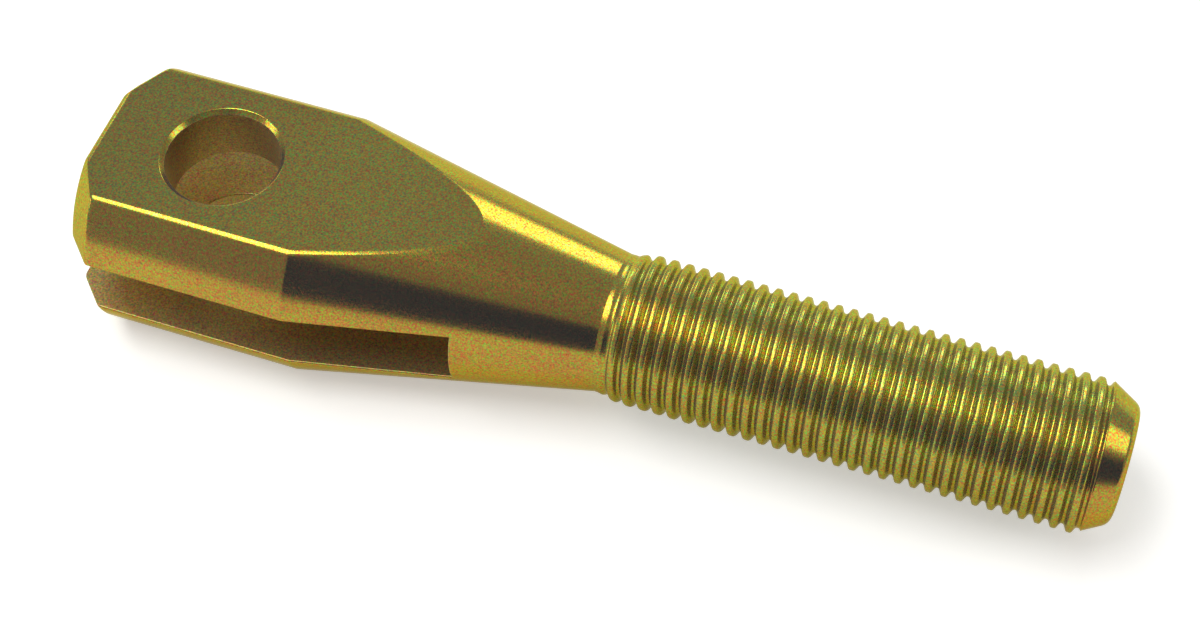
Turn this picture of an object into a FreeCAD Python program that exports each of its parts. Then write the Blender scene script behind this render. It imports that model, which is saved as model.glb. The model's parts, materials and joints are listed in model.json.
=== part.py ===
import FreeCAD, Part
import math
import os

# Male-threaded clevis, turned and milled from one length of round steel bar.
# The thread is drawn as a row of ring-shaped grooves, with the real thread's pitch, depth and diameters.
# The origin is the middle of the pin hole, on the bar's axis. X runs along the shank to its tip, Z along the
# pin hole, square to the two milled flats. All sizes are in millimetres.

# Head
barDiameter = 22.0         # round bar that the head keeps
flatsThickness = 16.4      # across the two milled flats
flatEdgeRounding = 0.6     # radius along the rims of the flats
slotWidth = 5.7            # gap between the two ears
slotPastHole = 22.7        # from the pin hole's axis to the square end of the slot
pinHoleDiameter = 9.6      # takes a 3/8 inch pin
pinHoleChamfer = 0.4       # at both mouths of the hole, at 45 degrees
frontPastHole = 10.9       # from the pin hole's axis to the front of the ears
frontFaceDiameter = 17.0   # flat front of the ears, inside their chamfer
frontChamferLength = 2.5   # of the ears' front chamfer, along the axis
taperPastHole = 9.1        # from the pin hole's axis to the large end of the taper

# Shank
neckPastHole = 34.2        # from the pin hole's axis to the small end of the taper
neckDiameter = 11.8        # blank that the thread is rolled on
threadDiameter = 12.7      # outside diameter of the 1/2-20 thread
threadRise = 0.3           # length over which the neck grows to the thread's diameter
threadPitch = 25.4 / 20    # of a 1/2-20 thread
threadDepth = 0.69         # from the crests to the roots
threadLand = 0.2           # least plain length at each end of the thread
tipPastHole = 77.0         # from the pin hole's axis to the end of the shank
tipDiameter = 9.6          # flat of the tip, before its edge is rounded
tipChamferAngle = 30.0     # between the tip's chamfer and the axis
tipEdgeRounding = 0.5      # radius around the flat of the tip

barRadius = barDiameter / 2
halfFlats = flatsThickness / 2
neckRadius = neckDiameter / 2
threadRadius = threadDiameter / 2
tipRadius = tipDiameter / 2
pinHoleRadius = pinHoleDiameter / 2
nearby = 1e-4              # two places closer than this are the same

origin = FreeCAD.Vector(0, 0, 0)
axisX = FreeCAD.Vector(1, 0, 0)
axisZ = FreeCAD.Vector(0, 0, 1)


# Place on the turned outline, at a distance along the axis and a radius from it
def at(x, radius):
    return FreeCAD.Vector(x, 0, radius)


# Solid of revolution inside a straight-edged outline that starts and ends on the axis
def turned(outline):
    section = Part.Face(Part.makePolygon(outline + outline[:1]))
    return section.revolve(origin, axisX, 360)


# Outline of the thread between two places: grooves side by side, centred between its two plain ends
def threadOutline(start, end):
    grooves = math.floor((end - start - 2 * threadLand) / threadPitch)
    land = (end - start - grooves * threadPitch) / 2
    outline = [at(start, threadRadius), at(start + land, threadRadius)]
    for groove in range(grooves):
        rootPlace = start + land + (groove + 0.5) * threadPitch
        outline.append(at(rootPlace, threadRadius - threadDepth))
        outline.append(at(rootPlace + threadPitch / 2, threadRadius))
    return outline + [at(end, threadRadius)]


# Turned blank: front chamfer, round of the bar, taper, neck, shank and tip
def makeBlank():
    tipChamferLength = (threadRadius - tipRadius) / math.tan(math.radians(tipChamferAngle))
    thread = threadOutline(neckPastHole + threadRise, tipPastHole - tipChamferLength)
    blank = turned([
        at(-frontPastHole, 0),
        at(-frontPastHole, frontFaceDiameter / 2),
        at(-frontPastHole + frontChamferLength, barRadius),
        at(taperPastHole, barRadius),
        at(neckPastHole, neckRadius),
        *thread,
        at(tipPastHole, tipRadius),
        at(tipPastHole, 0),
    ])
    tipRim = [edge for edge in blank.Edges if edge.BoundBox.XMin > tipPastHole - nearby]
    return blank.makeFillet(tipEdgeRounding, tipRim)


# The two flats, milled across the head, with their rims rounded
def millFlats(blank):
    reach = tipPastHole + barDiameter
    corner = FreeCAD.Vector(-reach, -reach, -halfFlats)
    milled = blank.common(Part.makeBox(reach * 2, reach * 2, flatsThickness, corner))
    rims = []
    for edge in milled.Edges:
        box = edge.BoundBox
        if box.ZMin > halfFlats - nearby or box.ZMax < -halfFlats + nearby:
            rims.append(edge)
    return milled.makeFillet(flatEdgeRounding, rims)


# Slot between the ears, open at the front and on both sides
def slotCutter():
    corner = FreeCAD.Vector(-frontPastHole * 2, -barDiameter, -slotWidth / 2)
    return Part.makeBox(frontPastHole * 2 + slotPastHole, barDiameter * 2, slotWidth, corner)


# Pin hole through both ears, with a chamfer at each mouth
def pinHoleCutter():
    drill = Part.makeCylinder(pinHoleRadius, flatsThickness, FreeCAD.Vector(0, 0, -halfFlats), axisZ)
    mouths = []
    for side in (1, -1):
        base = axisZ * side * (halfFlats - pinHoleChamfer)
        mouths.append(Part.makeCone(pinHoleRadius, pinHoleRadius + pinHoleChamfer, pinHoleChamfer, base, axisZ * side))
    return drill.fuse(mouths)


def makeClevis():
    return millFlats(makeBlank()).cut([slotCutter(), pinHoleCutter()])


clevis = makeClevis().Solids[0]
print("clevis valid:", clevis.isValid(), " volume in mm3:", round(clevis.Volume, 1))
os.makedirs("parts", exist_ok=True)
clevis.exportStep("parts/clevis.step")
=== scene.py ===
import json
import math

import bmesh
import bpy
from mathutils import Matrix, Vector


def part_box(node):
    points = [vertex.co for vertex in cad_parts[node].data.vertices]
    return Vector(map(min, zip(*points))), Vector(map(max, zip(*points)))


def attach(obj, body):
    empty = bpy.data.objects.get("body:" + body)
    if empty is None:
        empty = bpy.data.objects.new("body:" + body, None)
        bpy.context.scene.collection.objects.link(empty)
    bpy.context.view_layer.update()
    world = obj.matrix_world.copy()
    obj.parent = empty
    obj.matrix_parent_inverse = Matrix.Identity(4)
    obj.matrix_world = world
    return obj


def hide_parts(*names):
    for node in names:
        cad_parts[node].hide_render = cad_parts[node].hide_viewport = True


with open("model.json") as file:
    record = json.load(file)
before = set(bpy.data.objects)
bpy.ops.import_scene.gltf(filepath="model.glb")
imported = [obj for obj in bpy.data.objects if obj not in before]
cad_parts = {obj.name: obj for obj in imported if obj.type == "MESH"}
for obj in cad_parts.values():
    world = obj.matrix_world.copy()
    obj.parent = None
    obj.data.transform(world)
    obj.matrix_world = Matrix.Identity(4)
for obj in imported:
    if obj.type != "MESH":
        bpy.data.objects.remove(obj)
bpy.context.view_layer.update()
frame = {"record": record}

mm = 0.001
nearby = 0.001 * mm                  # two places closer than this are the same
print("stage: frame loaded")

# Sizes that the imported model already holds
cadLow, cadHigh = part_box("clevis")
mounts = {mount["name"]: mount for mount in frame["record"]["mounts"]}
pinHoleRadius = mounts["pin_hole"]["dims"]["r_mm"] * mm
threadRadius = mounts["thread"]["dims"]["r_mm"] * mm
threadStart = mounts["thread"]["pos_m"][0] - mounts["thread"]["dims"]["length_mm"] / 2 * mm


# A colour written as on a web page, turned to the linear values that the shaders use
def linearColour(hexText):
    channels = [int(hexText[i:i + 2], 16) / 255 for i in (1, 3, 5)]
    linear = [c / 12.92 if c <= 0.04045 else ((c + 0.055) / 1.055) ** 2.4 for c in channels]
    return (*linear, 1.0)


# Adds a node, sets its own properties, then its inputs: a value, or the socket or node that feeds it
def addNode(tree, kind, properties=None, inputs=None):
    node = tree.nodes.new(kind)
    for name, value in (properties or {}).items():
        setattr(node, name, value)
    for name, value in (inputs or {}).items():
        if isinstance(value, bpy.types.Node):
            value = value.outputs[0]
        if isinstance(value, bpy.types.NodeSocket):
            tree.links.new(value, node.inputs[name])
        else:
            node.inputs[name].default_value = value
    return node


# Head: two ears on a round bar with milled flats, and the taper down to the neck
headShape = {
    "front": cadLow.x,
    "frontFaceRadius": 8.5 * mm,
    "frontChamferLength": 2.5 * mm,
    "frontRounding": 0.3 * mm,       # between the front face and its chamfer
    "barRadius": 11.0 * mm,
    "halfFlats": cadHigh.z,
    "rimRounding": 0.9 * mm,         # where the flats meet the round of the bar
    "slotHalf": 2.85 * mm,
    "slotEnd": 22.7 * mm,
    "lipRounding": 0.15 * mm,        # edges of the slot
    "chamferBlend": 0.2 * mm,        # softness of the edge behind the front chamfer
    "taperStart": 9.1 * mm,
    "taperBlend": 0.03 * mm,         # softness of the edge where the taper starts
    "neck": 34.2 * mm,
    "neckRadius": 5.9 * mm,
    "holeChamfer": 0.4 * mm,
    "holeRounding": 0.12 * mm,
}

# Yellow chromate over zinc plating on turned, milled and rolled steel. The film is a few hundred nanometres
# thick, so the eye sees a satin metal that is olive on the milled flats, the front and the thread, where the
# film is thin, and runs to orange gold on the turned surfaces.
platingLook = {
    "olive": "#a3ab4c",              # colour of the thinnest film
    "gold": "#a99424",
    "orange": "#9d7229",             # colour of the thickest film
    "innerColour": "#aa8f4e",        # duller film in the slot and the pin hole
    "edgeTint": "#d9cf86",           # keeps the metal yellow where it is seen at a glancing angle
    "turnedFilm": 0.80,              # film on the near side of the turned surfaces, from olive to orange
    "oliveFilm": 0.40,               # film on flats, front and thread
    "backThinning": 0.40,            # taken off the turned surfaces towards the back
    "threadThinning": 0.20,          # the same for the thread
    "underPaintedShade": 0.26,              # painted shade: the colour is darkened on the underside of the thread
    "frontPaintedShade": 0.16,              # painted shade: the colour is darkened towards the front of the flats
    "driftSize": 12.0 * mm,          # slow change in the film's thickness
    "driftDetail": 3.0,              # finer ripples inside the slow change
    "driftRoughness": 0.55,
    "driftShare": 0.5,
    "grainSize": 0.16 * mm,          # crystal grain, drawn coarser than the real one so that it shows
    "grainSpread": (0.3, 0.7),       # range that nearly all of the grain's values lie in
    "grainDetail": 1.0,
    "grainShare": 1.9,
    "grainColour": 2.7,              # how strongly single crystals differ in colour
    "roughness": 0.20,
    "innerRoughness": 0.40,          # in the slot and the pin hole
    "threadRoughness": 0.27,
    "grainRoughness": 0.08,
    "grainHeight": 0.0015 * mm,
    "bloom": 0.085,                  # dry salt on the film, which scatters a little white light
    "wallMargin": 0.05 * mm,         # how far the slot's and the pin hole's finish reaches past their walls
    # soft edges between the finishes: what is measured (height is the distance from the middle plane),
    # where each finish starts and where it is full
    "edges": {
        "flats": ("height", cadHigh.z - 0.3 * mm, cadHigh.z - 0.05 * mm),
        "pastNeck": ("X", threadStart - 1.0 * mm, threadStart + 1.0 * mm),
        "beforeTip": ("X", cadHigh.x - 2.4 * mm, cadHigh.x - 2.9 * mm),
        "front": ("X", cadLow.x + 3.0 * mm, cadLow.x + 2.2 * mm),
        "back": ("Y", -3.0 * mm, 1.0 * mm),
        # the last two fade in the painted shade under the thread and towards the front of the flats
        "low": ("Z", 3.5 * mm, 0.5 * mm),
        "forward": ("X", 10.0 * mm, -8.0 * mm),
    },
}


def makePlating(look):
    material = bpy.data.materials.new("yellowChromateOnZinc")
    material.use_nodes = True
    tree = material.node_tree
    tree.nodes.clear()
    place = addNode(tree, "ShaderNodeTexCoord").outputs["Object"]
    apart = addNode(tree, "ShaderNodeSeparateXYZ", None, {"Vector": place}).outputs
    height = addNode(tree, "ShaderNodeMath", {"operation": "ABSOLUTE"}, {0: apart["Z"]})

    # slot and pin hole
    slotLow = addNode(tree, "ShaderNodeMath", {"operation": "LESS_THAN"}, {
        0: height, 1: headShape["slotHalf"] + look["wallMargin"]})
    slotAhead = addNode(tree, "ShaderNodeMath", {"operation": "LESS_THAN"}, {
        0: apart["X"], 1: headShape["slotEnd"] + look["wallMargin"]})
    slot = addNode(tree, "ShaderNodeMath", {"operation": "MULTIPLY"}, {0: slotLow, 1: slotAhead})
    level = addNode(tree, "ShaderNodeVectorMath", {"operation": "MULTIPLY"}, {0: place, 1: (1, 1, 0)})
    fromHole = addNode(tree, "ShaderNodeVectorMath", {"operation": "LENGTH"}, {0: level}).outputs["Value"]
    bore = addNode(tree, "ShaderNodeMath", {"operation": "LESS_THAN"}, {
        0: fromHole, 1: pinHoleRadius + look["wallMargin"]})
    inside = addNode(tree, "ShaderNodeMath", {"operation": "MAXIMUM"}, {0: slot, 1: bore})

    # flats, thread and front, and the sides that the film changes towards
    measures = {"X": apart["X"], "Y": apart["Y"], "Z": apart["Z"], "height": height}
    mask = {}
    for name, (measure, start, full) in look["edges"].items():
        mask[name] = addNode(tree, "ShaderNodeMapRange", None, {
            "Value": measures[measure], "From Min": start, "From Max": full})
    thread = addNode(tree, "ShaderNodeMath", {"operation": "MULTIPLY"}, {
        0: mask["pastNeck"], 1: mask["beforeTip"]})
    planes = addNode(tree, "ShaderNodeMath", {"operation": "MAXIMUM"}, {0: mask["flats"], 1: mask["front"]})
    olive = addNode(tree, "ShaderNodeMath", {"operation": "MAXIMUM"}, {0: planes, 1: thread})

    # thickness of the film
    drift = addNode(tree, "ShaderNodeTexNoise", None, {
        "Vector": place, "Scale": 1 / look["driftSize"], "Detail": look["driftDetail"],
        "Roughness": look["driftRoughness"]}).outputs["Fac"]
    crystals = addNode(tree, "ShaderNodeTexNoise", None, {
        "Vector": place, "Scale": 1 / look["grainSize"], "Detail": look["grainDetail"]}).outputs
    grain = crystals["Fac"]
    lost = addNode(tree, "ShaderNodeMath", {"operation": "MULTIPLY_ADD"}, {
        0: planes, 1: -look["backThinning"], 2: look["backThinning"]})
    lost = addNode(tree, "ShaderNodeMath", {"operation": "MULTIPLY_ADD"}, {
        0: thread, 1: look["threadThinning"] - look["backThinning"], 2: lost})
    thinned = addNode(tree, "ShaderNodeMath", {"operation": "MULTIPLY"}, {0: mask["back"], 1: lost})
    thick = addNode(tree, "ShaderNodeMapRange", None, {
        "Value": olive, "To Min": look["turnedFilm"], "To Max": look["oliveFilm"]})
    thick = addNode(tree, "ShaderNodeMath", {"operation": "SUBTRACT"}, {0: thick, 1: thinned})
    thick = addNode(tree, "ShaderNodeMath", {"operation": "MULTIPLY_ADD"}, {
        0: drift, 1: look["driftShare"], 2: thick})
    thick = addNode(tree, "ShaderNodeMath", {"operation": "MULTIPLY_ADD"}, {
        0: grain, 1: look["grainShare"], 2: thick})
    thick = addNode(tree, "ShaderNodeMath", {"operation": "SUBTRACT"}, {
        0: thick, 1: (look["driftShare"] + look["grainShare"]) / 2})

    # colour of the film, then painted shade under the thread and towards the front of the flats, and single
    # crystals in it
    film = addNode(tree, "ShaderNodeValToRGB", None, {"Fac": thick})
    stops = film.color_ramp.elements
    stops[0].position = 0.0
    stops[0].color = linearColour(look["olive"])
    stops[1].position = 1.0
    stops[1].color = linearColour(look["orange"])
    middle = stops.new(0.5)
    middle.color = linearColour(look["gold"])
    duller = addNode(tree, "ShaderNodeMix", {"data_type": "RGBA"}, {
        0: inside, 6: film, 7: linearColour(look["innerColour"])}).outputs[2]
    # painted shade: the film's colour is scaled down under the thread and towards the front of the flats
    under = addNode(tree, "ShaderNodeMath", {"operation": "MULTIPLY"}, {0: thread, 1: mask["low"]})
    forward = addNode(tree, "ShaderNodeMath", {"operation": "MULTIPLY"}, {
        0: mask["flats"], 1: mask["forward"]})
    paintedShadeScale = addNode(tree, "ShaderNodeMath", {"operation": "MULTIPLY_ADD"}, {
        0: under, 1: -look["underPaintedShade"], 2: 1.0})
    paintedShadeScale = addNode(tree, "ShaderNodeMath", {"operation": "MULTIPLY_ADD"}, {
        0: forward, 1: -look["frontPaintedShade"], 2: paintedShadeScale})
    shadedFilm = addNode(tree, "ShaderNodeVectorMath", {"operation": "SCALE"}, {0: duller, "Scale": paintedShadeScale})
    tints = addNode(tree, "ShaderNodeVectorMath", {"operation": "MULTIPLY_ADD"}, {
        0: crystals["Color"], 1: (look["grainColour"],) * 3, 2: (1 - look["grainColour"] / 2,) * 3})
    speckled = addNode(tree, "ShaderNodeVectorMath", {"operation": "MULTIPLY"}, {0: shadedFilm, 1: tints})

    # satin gloss, duller on the thread and inside
    leastGrain, mostGrain = look["grainSpread"]
    rough = addNode(tree, "ShaderNodeMapRange", None, {
        "Value": grain, "From Min": leastGrain, "From Max": mostGrain,
        "To Min": look["roughness"] - look["grainRoughness"] / 2,
        "To Max": look["roughness"] + look["grainRoughness"] / 2})
    rough = addNode(tree, "ShaderNodeMath", {"operation": "MULTIPLY_ADD"}, {
        0: inside, 1: look["innerRoughness"] - look["roughness"], 2: rough})
    rough = addNode(tree, "ShaderNodeMath", {"operation": "MULTIPLY_ADD"}, {
        0: thread, 1: look["threadRoughness"] - look["roughness"], 2: rough})
    bump = addNode(tree, "ShaderNodeBump", None, {
        "Height": grain, "Distance": look["grainHeight"], "Strength": 1.0})
    shader = addNode(tree, "ShaderNodeBsdfPrincipled", None, {
        "Base Color": speckled, "Metallic": 1.0, "Roughness": rough,
        "Specular Tint": linearColour(look["edgeTint"]), "Sheen Weight": look["bloom"],
        "Sheen Roughness": 1.0, "Normal": bump})
    addNode(tree, "ShaderNodeOutputMaterial", None, {"Surface": shader})
    return material


plating = makePlating(platingLook)
print("stage: plating made")

# How finely the curved surfaces are divided. A quarter of the bar has the lines of lip, arc and rim.
meshSteps = {
    "arc": 29,
    "rim": 6,
    "lip": 5,
    "hole": 96,
    "corner": 5,
    "closeRows": 8,                  # in the roundings at the front and at the tip
    "taper": 26,
    "neck": 22,
    "chamferSpan": 0.3 * mm,         # closer rows on each side of the edge behind the front chamfer
    "taperSpan": 0.2 * mm,           # and of the edge where the taper starts
    "leastGap": 0.004 * mm,          # between two rows
    "halvings": 50,                  # in the search for the place where the taper has a radius
}
quarterLines = meshSteps["arc"] + meshSteps["rim"] + meshSteps["lip"]
ringCount = 4 * quarterLines               # vertices around the shank


# How far a rounded edge stands back from its corner, at a distance from the face it starts on
def standBack(distance, radius):
    if distance >= radius:
        return 0.0
    return radius - math.sqrt(radius ** 2 - (radius - distance) ** 2)


# Smaller of two values, with the corner between them softened
def softMin(a, b, width):
    overlap = max(width - abs(a - b), 0.0) / width
    return min(a, b) - overlap * overlap * width / 4


# Straight cone from bar to neck
def taperRadius(x):
    s = headShape
    along = (x - s["taperStart"]) / (s["neck"] - s["taperStart"])
    return s["barRadius"] + (s["neckRadius"] - s["barRadius"]) * along


# Radius of the turned blank at a place along the axis
def turnedRadius(x):
    s = headShape
    slope = (s["barRadius"] - s["frontFaceRadius"]) / s["frontChamferLength"]
    chamfer = s["frontFaceRadius"] + (x - s["front"]) * slope
    radius = softMin(chamfer, s["barRadius"], s["chamferBlend"])
    radius = softMin(radius, taperRadius(x), s["taperBlend"])
    return radius - standBack(x - s["front"], s["frontRounding"])


# Where the flat's rim rounding has its centre, and the angle at which it leaves the round of the bar
def rimRound(x):
    s = headShape
    reach = turnedRadius(x) - s["rimRounding"]
    height = s["halfFlats"] - standBack(x - s["front"], s["rimRounding"]) - s["rimRounding"]
    if reach <= height:
        return 0.0, height, math.pi / 2
    across = math.sqrt(reach ** 2 - height ** 2)
    return across, height, math.atan2(height, across)


# The same for the rounding of the slot's lips
def lipRound(x):
    s = headShape
    reach = turnedRadius(x) - s["lipRounding"]
    height = s["slotHalf"] + standBack(x - s["front"], s["lipRounding"]) + s["lipRounding"]
    angle = math.asin(height / reach)
    return reach * math.cos(angle), height, angle


# The centre and radius of the arc that the section follows at an angle
def sectionArc(x, angle, split):
    across, height, rimAngle = rimRound(x)
    if angle >= rimAngle and across > 0:
        return across, height, headShape["rimRounding"]
    if split:
        across, height, lipAngle = lipRound(x)
        if angle < lipAngle:
            return across, height, headShape["lipRounding"]
    return 0.0, 0.0, turnedRadius(x)


# How far the section reaches in the direction of an angle: its slope along X tilts the surface
def sectionReach(x, angle, split):
    across, height, radius = sectionArc(x, angle, split)
    return across * math.cos(angle) + height * math.sin(angle) + radius


# A point of the section in the first quarter, and the surface's direction there
def skinPoint(x, angle, split):
    across, height, radius = sectionArc(x, angle, split)
    point = Vector((x, across + radius * math.cos(angle), height + radius * math.sin(angle)))
    step = nearby
    if x - step < headShape["front"]:
        return point, Vector((-1, 0, 0))
    slope = (sectionReach(x + step, angle, split) - sectionReach(x - step, angle, split)) / (2 * step)
    return point, Vector((-slope, math.cos(angle), math.sin(angle))).normalized()


# Angle of each line of the quarter's grid at a place along the axis, from slot to flat
def lineAngles(x, split):
    arc, rim, lip = meshSteps["arc"], meshSteps["rim"], meshSteps["lip"]
    rimAngle = rimRound(x)[2]
    lipAngle = lipRound(x)[2]
    lowest = -math.pi / 2 if split else 0.0
    below = [lowest + (lipAngle - lowest) * k / lip for k in range(lip)]
    side = [lipAngle + (rimAngle - lipAngle) * k / arc for k in range(arc)]
    above = [rimAngle + (math.pi / 2 - rimAngle) * k / rim for k in range(rim + 1)]
    angles = below + side + above
    vertex = flatEnd()
    if x <= vertex:
        return angles
    # past the flats the lines spread evenly, to meet the thread's
    share = (x - vertex) / (headShape["neck"] - vertex)
    share = share * share * (3 - 2 * share)
    even = [math.pi / 2 * k / quarterLines for k in range(quarterLines + 1)]
    return [a + (b - a) * share for a, b in zip(angles, even)]


# Where the taper has a given radius
def placeOfRadius(radius):
    low, high = headShape["taperStart"], headShape["neck"]
    for _ in range(meshSteps["halvings"]):
        middle = (low + high) / 2
        if turnedRadius(middle) > radius:
            low = middle
        else:
            high = middle
    return high


# Where the taper has shrunk to the flats' own height, so that they end
def flatEnd():
    return placeOfRadius(headShape["halfFlats"])


# Places along the axis where the grid has a row, closer together where the shape turns
def rowPlaces():
    s = headShape
    corner, closeRows = meshSteps["corner"], meshSteps["closeRows"]
    quarterTurn = [math.pi / 2 * k / closeRows for k in range(closeRows + 1)]
    places = [s["front"] + s["rimRounding"] * (1 - math.cos(a)) for a in quarterTurn]
    places += [s["front"] + s["frontRounding"] * (1 - math.cos(a)) for a in quarterTurn]
    places += [s["front"] + s["lipRounding"] * (1 - math.cos(a)) for a in quarterTurn]
    spread = [k / corner for k in range(-corner, corner + 1)]
    places += [s["front"] + s["frontChamferLength"] + meshSteps["chamferSpan"] * k for k in spread]
    places += [s["taperStart"] + meshSteps["taperSpan"] * k for k in spread]
    vertex = flatEnd()
    fullWidth = math.sqrt(s["barRadius"] ** 2 - s["halfFlats"] ** 2)
    for k in range(1, meshSteps["taper"]):
        width = fullWidth * k / meshSteps["taper"]
        places.append(placeOfRadius(math.hypot(width, s["halfFlats"])))
    places += [vertex + (s["neck"] - vertex) * k / meshSteps["neck"] for k in range(meshSteps["neck"] + 1)]
    places.append(s["slotEnd"])
    tidy = []
    for x in sorted(places):
        if not tidy or x - tidy[-1] > meshSteps["leastGap"]:
            tidy.append(x)
    return tidy


# Kinds of face, which take their normals in different ways
curvedFace, planeFace, threadFace = 0, 1, 2


# Mesh under construction: shares vertices by place, and keeps the direction of the true surface in each
class Shell:
    def __init__(self):
        self.mesh = bmesh.new()
        self.direction = self.mesh.verts.layers.float_vector.new("trueDirection")
        self.kind = self.mesh.faces.layers.int.new("kindOfFace")
        self.known = {}

    def vertex(self, place, direction=None):
        key = tuple(round(c / (nearby / 2)) for c in place)
        if key not in self.known:
            made = self.mesh.verts.new(place)
            if direction is not None:
                made[self.direction] = direction
            self.known[key] = made
        return self.known[key]

    def face(self, corners, kind=curvedFace):
        loop = []
        for corner in corners:
            if corner not in loop:
                loop.append(corner)
        if len(loop) < 3:
            return
        made = self.mesh.faces.get(loop) or self.mesh.faces.new(loop)
        made.smooth = True
        made[self.kind] = kind

    # Plane inside a boundary, with an optional hole
    def plane(self, boundary, hole, facing):
        edges = []
        for loop in (boundary, hole):
            for a, b in zip(loop, loop[1:] + loop[:1]):
                if a is not b:
                    edges.append(self.mesh.edges.get((a, b)) or self.mesh.edges.new((a, b)))
        filled = bmesh.ops.triangle_fill(self.mesh, edges=edges, use_beauty=True, normal=facing)
        for item in filled["geom"]:
            if isinstance(item, bmesh.types.BMFace):
                item.smooth = True
                item[self.kind] = planeFace
                item.normal_update()
                if item.normal.dot(facing) < 0:
                    item.normal_flip()


# Outline through corners, each rounded: places and outward directions, for turning about an axis
def roundedOutline(corners, radii, steps):
    outline = []
    for before, corner, after, radius in zip(corners, corners[1:], corners[2:], radii):
        into = (corner - before).normalized()
        out = (after - corner).normalized()
        turn = into.angle_signed(out)          # clockwise is positive
        reach = radius * math.tan(abs(turn) / 2)
        side = 1 if turn > 0 else -1
        right = Vector((into.y, -into.x)) * side
        centre = corner - into * reach + right * radius
        for k in range(steps + 1):
            spin = Matrix.Rotation(-turn * k / steps, 2)
            spoke = spin @ -right
            outline.append((centre + spoke * radius, spoke))
    return outline


# Row at which a rounding that starts at the front face ends
def lastRounded(rows, rounding):
    return next(i for i, row in enumerate(rows) if row[0] > headShape["front"] + rounding - 5 * nearby)


def buildHead(shell):
    s = headShape
    rows = []
    for x in rowPlaces():
        if x <= headShape["slotEnd"]:
            rows.append((x, True))
        if x >= headShape["slotEnd"]:
            rows.append((x, False))
    grid = [[skinPoint(x, angle, split) for angle in lineAngles(x, split)] for x, split in rows]
    lineCount = quarterLines + 1
    firstWhole = next(i for i, row in enumerate(rows) if not row[1])
    lastFlat = max(i for i, row in enumerate(rows) if turnedRadius(row[0]) > s["halfFlats"] - nearby)

    quarters = {}
    for side in (1, -1):
        for level in (1, -1):
            turned = Vector((1, side, level))
            quarters[side, level] = [[shell.vertex(p * turned, d * turned) for p, d in row] for row in grid]

    for (side, level), corner in quarters.items():
        outwards = side * level > 0
        for i in range(len(rows) - 1):
            atSlotEnd = i + 1 == firstWhole
            for j in range(lineCount - 1):
                if atSlotEnd and j >= meshSteps["lip"]:
                    continue
                loop = [corner[i][j], corner[i][j + 1], corner[i + 1][j + 1], corner[i + 1][j]]
                shell.face(loop if outwards else loop[::-1], planeFace if atSlotEnd else curvedFace)

    for level in (1, -1):
        left, right = quarters[-1, level], quarters[1, level]
        up = Vector((0, 0, level))
        hole = buildHalfPinHole(shell, level)
        # rounded front edges of the flat and of the slot's wall, then the planes behind them
        for line, rounding, facing in ((-1, s["rimRounding"], level), (0, s["lipRounding"], -level)):
            for i in range(lastRounded(rows, rounding)):
                strip = [right[i][line], left[i][line], left[i + 1][line], right[i + 1][line]]
                shell.face(strip if facing > 0 else strip[::-1])
        start = lastRounded(rows, s["rimRounding"])
        rim = [row[-1] for row in right[start:lastFlat + 1]]
        rim += [row[-1] for row in left[start:lastFlat + 1]][::-1]
        shell.plane(withoutRepeats(rim), hole[0], up)
        start = lastRounded(rows, s["lipRounding"])
        wall = [row[0] for row in right[start:firstWhole]]
        wall += [row[0] for row in left[start:firstWhole]][::-1]
        shell.plane(withoutRepeats(wall), hole[-1], -up)
        front = right[0] + left[0][::-1]
        shell.face(front[::-1] if level > 0 else front, planeFace)

    # square end of the slot
    end, start = firstWhole - 1, firstWhole
    loop = []
    for side in (1, -1):
        upper, lower = quarters[side, 1], quarters[side, -1]
        span = [upper[end][0], upper[start][0], lower[end][0]]
        loop += span if side > 0 else span[::-1]
    shell.face(loop, planeFace)


# The same list without neighbours that are one vertex
def withoutRepeats(loop):
    return [v for v, before in zip(loop, loop[-1:] + loop[:-1]) if v is not before]


# Pin hole through one ear: rounded mouth, chamfer, wall and rounded inner edge
def buildHalfPinHole(shell, level):
    s = headShape
    mouth = pinHoleRadius + s["holeChamfer"]
    beyond = 1 * mm                            # only gives the outline its direction at both ends
    corners = [
        Vector((mouth + beyond, s["halfFlats"])),
        Vector((mouth, s["halfFlats"])),
        Vector((pinHoleRadius, s["halfFlats"] - s["holeChamfer"])),
        Vector((pinHoleRadius, s["slotHalf"])),
        Vector((pinHoleRadius + beyond, s["slotHalf"])),
    ]
    outline = roundedOutline(corners, [s["holeRounding"]] * 3, meshSteps["corner"])
    rings = []
    for place, direction in outline:
        ring = []
        for k in range(meshSteps["hole"]):
            angle = 2 * math.pi * k / meshSteps["hole"]
            spoke = Vector((math.cos(angle), math.sin(angle), 0))
            point = spoke * place.x + Vector((0, 0, place.y * level))
            facing = spoke * direction.x + Vector((0, 0, direction.y * level))
            ring.append(shell.vertex(point, facing))
        rings.append(ring)
    for outer, inner in zip(rings, rings[1:]):
        for k in range(len(outer)):
            after = (k + 1) % len(outer)
            loop = [outer[k], outer[after], inner[after], inner[k]]
            shell.face(loop if level > 0 else loop[::-1])
    return rings


shell = Shell()
buildHead(shell)
print("stage: head built,", len(shell.mesh.faces), "faces")

# Shank: a rolled right-hand thread from the neck to the chamfered tip
threadShape = {
    "pitch": 25.4 / 20 * mm,         # of a 1/2-20 thread
    "firstCrest": 35.235 * mm,       # crest on the +Y side nearest to the neck
    "grooveDepth": 0.55 * mm,
    "crestFlat": 0.24,               # of the pitch, inside the rounding that rolling leaves
    "rootFlat": 0.12,
    "runIn": 2.4 * mm,               # the first grooves deepen over this length
    "tipRadius": 4.8 * mm,
    "tipChamferAngle": 30.0,         # degrees between the chamfer and the axis
    "tipRounding": 1.1 * mm,
    "plainTip": 1.2 * mm,            # end of the tip, past the last trace of the thread
    "linesPerTurn": 14,
}


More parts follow.
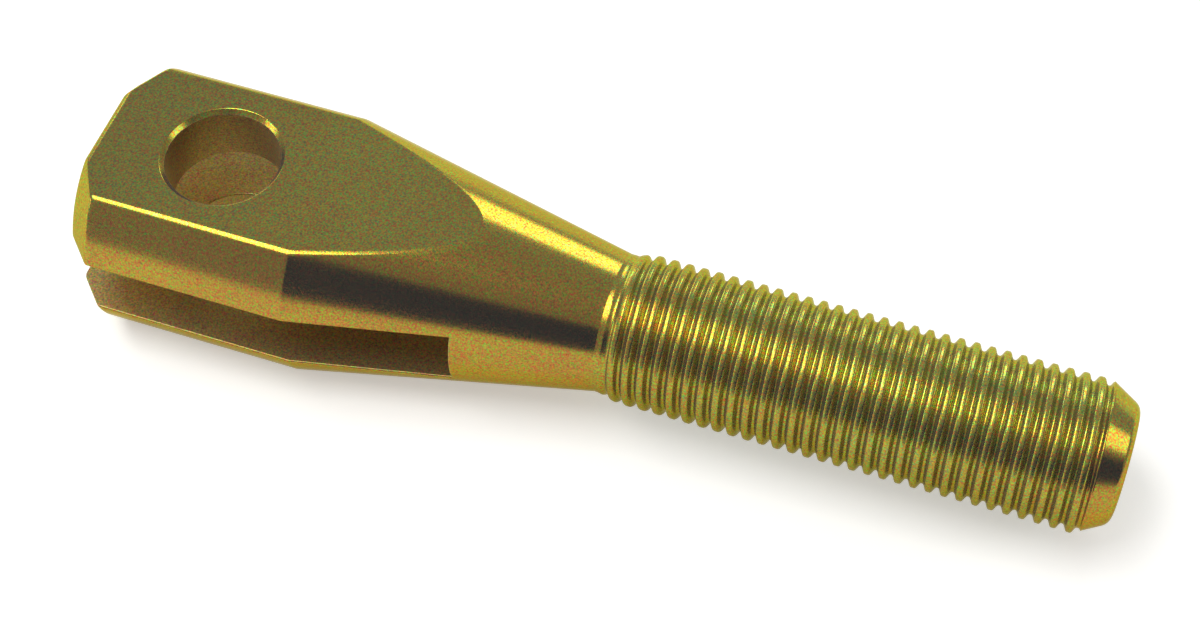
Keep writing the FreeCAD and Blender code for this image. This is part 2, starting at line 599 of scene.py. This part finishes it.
# Geometry Nodes tree that winds a grid round the X axis and sinks the thread's section into it
def makeThreadTree():
    tree = bpy.data.node_groups.new("rolledThread", "GeometryNodeTree")
    sizes = ("Start", "End", "Pitch", "First Crest", "Crest Radius", "Neck Radius", "Groove Depth",
             "Crest Share", "Root Share", "Run In", "Tip Radius", "Tip Slope", "Tip Place", "Turns")
    for name in sizes:
        tree.interface.new_socket(name, in_out="INPUT", socket_type="NodeSocketFloat")
    for name in ("Lines", "Ring"):
        tree.interface.new_socket(name, in_out="INPUT", socket_type="NodeSocketInt")
    tree.interface.new_socket("Material", in_out="INPUT", socket_type="NodeSocketMaterial")
    tree.interface.new_socket("Geometry", in_out="OUTPUT", socket_type="NodeSocketGeometry")
    given = addNode(tree, "NodeGroupInput").outputs

    # flat grid from -0.5 to 0.5: X becomes the way along the thread, Y the way round it
    rings = addNode(tree, "ShaderNodeMath", {"operation": "ADD"}, {0: given["Ring"], 1: 1.0})
    grid = addNode(tree, "GeometryNodeMeshGrid", None, {
        "Size X": 1.0, "Size Y": 1.0, "Vertices X": given["Lines"], "Vertices Y": rings})
    place = addNode(tree, "GeometryNodeInputPosition")
    apart = addNode(tree, "ShaderNodeSeparateXYZ", None, {0: place}).outputs
    along = addNode(tree, "ShaderNodeMath", {"operation": "ADD"}, {0: apart["X"], 1: 0.5})
    around = addNode(tree, "ShaderNodeMath", {"operation": "ADD"}, {0: apart["Y"], 1: 0.5})

    # the grid's lines follow the helix and are held between the two ends
    turn = addNode(tree, "ShaderNodeMath", {"operation": "SUBTRACT"}, {0: around, 1: 1.0})
    turn = addNode(tree, "ShaderNodeMath", {"operation": "MULTIPLY_ADD"}, {
        0: along, 1: given["Turns"], 2: turn})
    free = addNode(tree, "ShaderNodeMath", {"operation": "MULTIPLY_ADD"}, {
        0: turn, 1: given["Pitch"], 2: given["Start"]})
    x = addNode(tree, "ShaderNodeClamp", None, {"Value": free, "Min": given["Start"], "Max": given["End"]})

    # distance to the nearest crest, in pitches
    offset = addNode(tree, "ShaderNodeMath", {"operation": "SUBTRACT"}, {0: x, 1: given["First Crest"]})
    phase = addNode(tree, "ShaderNodeMath", {"operation": "DIVIDE"}, {0: offset, 1: given["Pitch"]})
    phase = addNode(tree, "ShaderNodeMath", {"operation": "SUBTRACT"}, {0: phase, 1: around})
    phase = addNode(tree, "ShaderNodeMath", {"operation": "WRAP"}, {0: phase, 1: 0.5, 2: -0.5})
    away = addNode(tree, "ShaderNodeMath", {"operation": "ABSOLUTE"}, {0: phase})

    # radius of the thread's section, which deepens from the neck and ends in the tip's chamfer
    crestEdge = addNode(tree, "ShaderNodeMath", {"operation": "MULTIPLY"}, {0: given["Crest Share"], 1: 0.5})
    rootEdge = addNode(tree, "ShaderNodeMath", {"operation": "MULTIPLY_ADD"}, {
        0: given["Root Share"], 1: -0.5, 2: 0.5})
    sunk = addNode(tree, "ShaderNodeMapRange", {"interpolation_type": "SMOOTHSTEP"}, {
        "Value": away, "From Min": crestEdge, "From Max": rootEdge, "To Min": 0.0,
        "To Max": given["Groove Depth"]})
    cut = addNode(tree, "ShaderNodeMath", {"operation": "SUBTRACT"}, {0: given["Crest Radius"], 1: sunk})
    runInEnd = addNode(tree, "ShaderNodeMath", {"operation": "ADD"}, {0: given["Start"], 1: given["Run In"]})
    share = addNode(tree, "ShaderNodeMapRange", {"interpolation_type": "SMOOTHSTEP"}, {
        "Value": x, "From Min": given["Start"], "From Max": runInEnd, "To Min": 0.0, "To Max": 1.0})
    proud = addNode(tree, "ShaderNodeMath", {"operation": "SUBTRACT"}, {0: cut, 1: given["Neck Radius"]})
    formed = addNode(tree, "ShaderNodeMath", {"operation": "MULTIPLY_ADD"}, {
        0: proud, 1: share, 2: given["Neck Radius"]})
    toTip = addNode(tree, "ShaderNodeMath", {"operation": "SUBTRACT"}, {0: given["Tip Place"], 1: x})
    tip = addNode(tree, "ShaderNodeMath", {"operation": "MULTIPLY_ADD"}, {
        0: toTip, 1: given["Tip Slope"], 2: given["Tip Radius"]})
    radius = addNode(tree, "ShaderNodeMath", {"operation": "MINIMUM"}, {0: formed, 1: tip})

    # round the axis
    angle = addNode(tree, "ShaderNodeMath", {"operation": "MULTIPLY"}, {0: around, 1: 2 * math.pi})
    cosine = addNode(tree, "ShaderNodeMath", {"operation": "COSINE"}, {0: angle})
    sine = addNode(tree, "ShaderNodeMath", {"operation": "SINE"}, {0: angle})
    y = addNode(tree, "ShaderNodeMath", {"operation": "MULTIPLY"}, {0: radius, 1: cosine})
    z = addNode(tree, "ShaderNodeMath", {"operation": "MULTIPLY"}, {0: radius, 1: sine})
    wound = addNode(tree, "ShaderNodeCombineXYZ", None, {"X": x, "Y": y, "Z": z})
    moved = addNode(tree, "GeometryNodeSetPosition", None, {"Geometry": grid, "Position": wound})
    merged = addNode(tree, "GeometryNodeMergeByDistance", None, {"Geometry": moved, "Distance": nearby / 2})
    realized = addNode(tree, "GeometryNodeRealizeInstances", None, {"Geometry": merged})
    painted = addNode(tree, "GeometryNodeSetMaterial", None, {
        "Geometry": realized, "Material": given["Material"]})
    addNode(tree, "NodeGroupOutput", None, {"Geometry": painted})
    return tree


# Runs the tree once and returns its result as a plain mesh
def windThread(t):
    start, end = headShape["neck"], cadHigh.x - t["plainTip"]
    turns = math.ceil((end - start) / t["pitch"]) + 1
    values = {
        "Start": start, "End": end, "Pitch": t["pitch"], "First Crest": t["firstCrest"],
        "Crest Radius": threadRadius, "Neck Radius": headShape["neckRadius"],
        "Groove Depth": t["grooveDepth"], "Crest Share": t["crestFlat"], "Root Share": t["rootFlat"],
        "Run In": t["runIn"], "Tip Radius": t["tipRadius"], "Tip Place": cadHigh.x,
        "Tip Slope": math.tan(math.radians(t["tipChamferAngle"])), "Turns": float(turns),
        "Lines": turns * t["linesPerTurn"] + 1, "Ring": ringCount, "Material": plating,
    }
    tree = makeThreadTree()
    carrier = bpy.data.objects.new("threadCarrier", bpy.data.meshes.new("threadCarrier"))
    bpy.context.scene.collection.objects.link(carrier)
    modifier = carrier.modifiers.new("rolledThread", "NODES")
    modifier.node_group = tree
    for item in tree.interface.items_tree:
        if item.in_out == "INPUT":
            modifier[item.identifier] = values[item.name]
    evaluated = carrier.evaluated_get(bpy.context.evaluated_depsgraph_get())
    mesh = bpy.data.meshes.new_from_object(evaluated)
    carrier.modifiers.clear()
    bpy.data.objects.remove(carrier)
    return mesh


def buildTip(shell, t):
    slope = math.tan(math.radians(t["tipChamferAngle"]))
    start = cadHigh.x - t["plainTip"]
    corners = [
        Vector((start, t["tipRadius"] + t["plainTip"] * slope)),
        Vector((cadHigh.x, t["tipRadius"])),
        Vector((cadHigh.x, 0)),
    ]
    outline = roundedOutline(corners, [t["tipRounding"]], meshSteps["closeRows"])
    chamfer = Vector((slope, 1)).normalized()
    outline = [(corners[0], chamfer)] + outline
    rings = []
    for place, direction in outline:
        ring = []
        for k in range(ringCount):
            angle = 2 * math.pi * k / ringCount
            spoke = Vector((0, math.cos(angle), math.sin(angle)))
            point = spoke * place.y + Vector((place.x, 0, 0))
            facing = spoke * direction.y + Vector((direction.x, 0, 0))
            ring.append(shell.vertex(point, facing))
        rings.append(ring)
    for inner, outer in zip(rings, rings[1:]):
        for k in range(ringCount):
            after = (k + 1) % ringCount
            shell.face([inner[k], inner[after], outer[after], outer[k]])
    shell.face(rings[-1], planeFace)


threadMesh = windThread(threadShape)
print("stage: thread wound,", len(threadMesh.polygons), "faces")
buildTip(shell, threadShape)


# One closed mesh of head, thread and tip, with the true surface's directions on head and tip
def finishPiece(shell, threadMesh):
    builtFaces = len(shell.mesh.faces)
    shell.mesh.from_mesh(threadMesh)
    shell.mesh.faces.ensure_lookup_table()
    threadFaces = shell.mesh.faces[builtFaces:]
    for face in threadFaces:
        face.smooth = True
        face[shell.kind] = threadFace
    facing = threadFaces[len(threadFaces) // 2]            # one face tells which way they all point
    facing.normal_update()
    middle = facing.calc_center_median()
    if facing.normal.dot(Vector((0, middle.y, middle.z))) < 0:
        bmesh.ops.reverse_faces(shell.mesh, faces=threadFaces)
    bmesh.ops.remove_doubles(shell.mesh, verts=shell.mesh.verts, dist=nearby)
    shell.mesh.normal_update()
    directions = []
    for face in shell.mesh.faces:
        for loop in face.loops:
            if face[shell.kind] == planeFace:
                directions.append(face.normal.copy())
            elif face[shell.kind] == curvedFace:
                directions.append(Vector(loop.vert[shell.direction]))
            else:
                directions.append(Vector((0, 0, 0)))   # keeps its own smooth normal
    openEdges = [edge for edge in shell.mesh.edges if not edge.is_manifold]
    volume = round(shell.mesh.calc_volume() / mm ** 3, 1)
    print("stage: joined, open edges", len(openEdges), "volume in mm3", volume)
    mesh = bpy.data.meshes.new("plated_clevis")
    shell.mesh.to_mesh(mesh)
    shell.mesh.free()
    mesh.materials.clear()
    mesh.materials.append(plating)
    mesh.normals_split_custom_set(directions)
    piece = bpy.data.objects.new("plated_clevis", mesh)
    bpy.context.scene.collection.objects.link(piece)
    return piece


clevis = finishPiece(shell, threadMesh)
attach(clevis, "root")
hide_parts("clevis")
print("stage: piece finished,", len(clevis.data.polygons), "faces")

# Studio: a pale floor, soft lamps and a camera that looks down on the part
studio = {
    "floorSize": 3.0,
    "floorColour": "#f4f3f0",
    "floorGlow": 0.38,               # added where the camera or the metal sees the floor
    "worldColour": "#ffffff",
    "worldStrength": 0.38,           # soft light from all round
    # each softbox: direction from the part, distance, width, height, brightness
    "softboxes": {
        "backSoftbox": ((0.045, 0.872, 0.487), 0.8, 0.18, 0.36, 3.6),
        "overheadSoftbox": ((-0.325, -0.16, 0.932), 0.8, 0.54, 0.31, 6.6),
        "windowSoftbox": ((-0.68, 0.69, 0.26), 0.9, 0.42, 0.26, 2.8),
        "leftSoftbox": ((-0.887, -0.358, 0.292), 0.8, 0.26, 0.22, 2.8),
        "sideSoftbox": ((0.847, 0.18, 0.50), 0.8, 0.34, 0.22, 2.4),
    },
    # pale backdrop behind the part, bent round it
    "backdropFrom": 155.0,           # degrees from +X towards +Y
    "backdropTo": 25.0,
    "backdropDistance": 1.0,
    "backdropTop": 6.0,              # degrees above the floor, seen from the part
    "screenPanels": 8,               # flat panels that a bent screen is made of
    # black card that darkens what the metal shows of the room in front of it
    "cardColour": "#0d0d0c",
    "cardFrom": -10.0,               # degrees from +X, negative towards -Y
    "cardTo": -97.0,
    "cardDistance": 0.7,
    "cardTop": 40.0,                 # degrees above the floor, seen from the part
}
cameraSetup = {
    "place": (66.098 * mm, -99.293 * mm, 148.942 * mm),
    "target": (32.873 * mm, 0.371 * mm, 0.0),
    "roll": 0.343,                   # degrees
    "focalLength": 65.83,            # millimetres
    "nearest": 10 * mm,              # nothing closer to the camera is drawn
}


# Matt white paper: the part's soft shadow lies on it, and the camera and the metal see the rest as white
def makeFloor(s):
    mesh = bpy.data.meshes.new("floor")
    half = s["floorSize"] / 2
    corners = [(x * half, y * half, cadLow.z) for x, y in ((-1, -1), (1, -1), (1, 1), (-1, 1))]
    mesh.from_pydata(corners, [], [(0, 1, 2, 3)])
    floor = bpy.data.objects.new("floor", mesh)
    bpy.context.scene.collection.objects.link(floor)
    material = bpy.data.materials.new("paleFloor")
    material.use_nodes = True
    tree = material.node_tree
    tree.nodes.clear()
    rays = addNode(tree, "ShaderNodeLightPath").outputs
    seen = addNode(tree, "ShaderNodeMath", {"operation": "MAXIMUM"}, {
        0: rays["Is Camera Ray"], 1: rays["Is Glossy Ray"]})
    seen = addNode(tree, "ShaderNodeMath", {"operation": "MAXIMUM"}, {
        0: seen, 1: rays["Is Transmission Ray"]})
    matt = addNode(tree, "ShaderNodeBsdfDiffuse", None, {"Color": linearColour(s["floorColour"])})
    glow = addNode(tree, "ShaderNodeEmission", None, {"Color": (1, 1, 1, 1), "Strength": s["floorGlow"]})
    both = addNode(tree, "ShaderNodeAddShader", None, {0: matt, 1: glow})
    mixed = addNode(tree, "ShaderNodeMixShader", None, {0: seen, 1: matt, 2: both})
    addNode(tree, "ShaderNodeOutputMaterial", None, {"Surface": mixed})
    mesh.materials.append(material)
    return material


def makeLamps(s):
    middle = (cadLow + cadHigh) / 2
    for name, (direction, distance, width, height, brightness) in s["softboxes"].items():
        lamp = bpy.data.lights.new(name, "AREA")
        lamp.shape = "RECTANGLE"
        lamp.size, lamp.size_y = width, height
        lamp.energy = brightness * math.pi * width * height   # the same brightness at any size
        holder = bpy.data.objects.new(name, lamp)
        towards = Vector(direction).normalized()
        holder.location = middle + towards * distance
        holder.rotation_mode = "QUATERNION"
        holder.rotation_quaternion = towards.to_track_quat("Z", "Y")
        bpy.context.scene.collection.objects.link(holder)
    world = bpy.data.worlds.new("studio")
    world.use_nodes = True
    background = world.node_tree.nodes["Background"]
    background.inputs["Color"].default_value = linearColour(s["worldColour"])
    background.inputs["Strength"].default_value = s["worldStrength"]
    bpy.context.scene.world = world


# Upright screen, bent round the part
def makeScreen(name, material, start, end, distance, top):
    panels = studio["screenPanels"]
    vertices = []
    for k in range(panels + 1):
        angle = math.radians(start + (end - start) * k / panels)
        x = (cadLow.x + cadHigh.x) / 2 + distance * math.cos(angle)
        y = distance * math.sin(angle)
        vertices += [(x, y, cadLow.z), (x, y, distance * math.tan(math.radians(top)))]
    faces = [(2 * k, 2 * k + 1, 2 * k + 3, 2 * k + 2) for k in range(panels)]
    mesh = bpy.data.meshes.new(name)
    mesh.from_pydata(vertices, [], faces)
    mesh.materials.append(material)
    screen = bpy.data.objects.new(name, mesh)
    bpy.context.scene.collection.objects.link(screen)
    screen.visible_camera = False              # only the metal shows it


# A backdrop of the floor's paper, and a card of matt black paper that the metal shows as its dark bands
def makeScreens(s, paleMaterial):
    material = bpy.data.materials.new("blackPaper")
    material.use_nodes = True
    tree = material.node_tree
    tree.nodes.clear()
    matt = addNode(tree, "ShaderNodeBsdfDiffuse", None, {"Color": linearColour(s["cardColour"])})
    addNode(tree, "ShaderNodeOutputMaterial", None, {"Surface": matt})
    makeScreen("blackCard", material, s["cardFrom"], s["cardTo"], s["cardDistance"], s["cardTop"])
    makeScreen("backdrop", paleMaterial, s["backdropFrom"], s["backdropTo"], s["backdropDistance"],
               s["backdropTop"])


def makeCamera(c):
    data = bpy.data.cameras.new("camera")
    data.lens = c["focalLength"]
    data.clip_start = c["nearest"]
    camera = bpy.data.objects.new("camera", data)
    bpy.context.scene.collection.objects.link(camera)
    place, target = Vector(c["place"]), Vector(c["target"])
    view = (target - place).to_track_quat("-Z", "Y").to_matrix()
    view = view @ Matrix.Rotation(math.radians(c["roll"]), 3, "Z")
    camera.matrix_world = Matrix.Translation(place) @ view.to_4x4()
    bpy.context.scene.camera = camera


paleMaterial = makeFloor(studio)
makeScreens(studio, paleMaterial)
makeLamps(studio)
makeCamera(cameraSetup)
bpy.context.scene.view_settings.view_transform = "Standard"
print("stage: studio set")
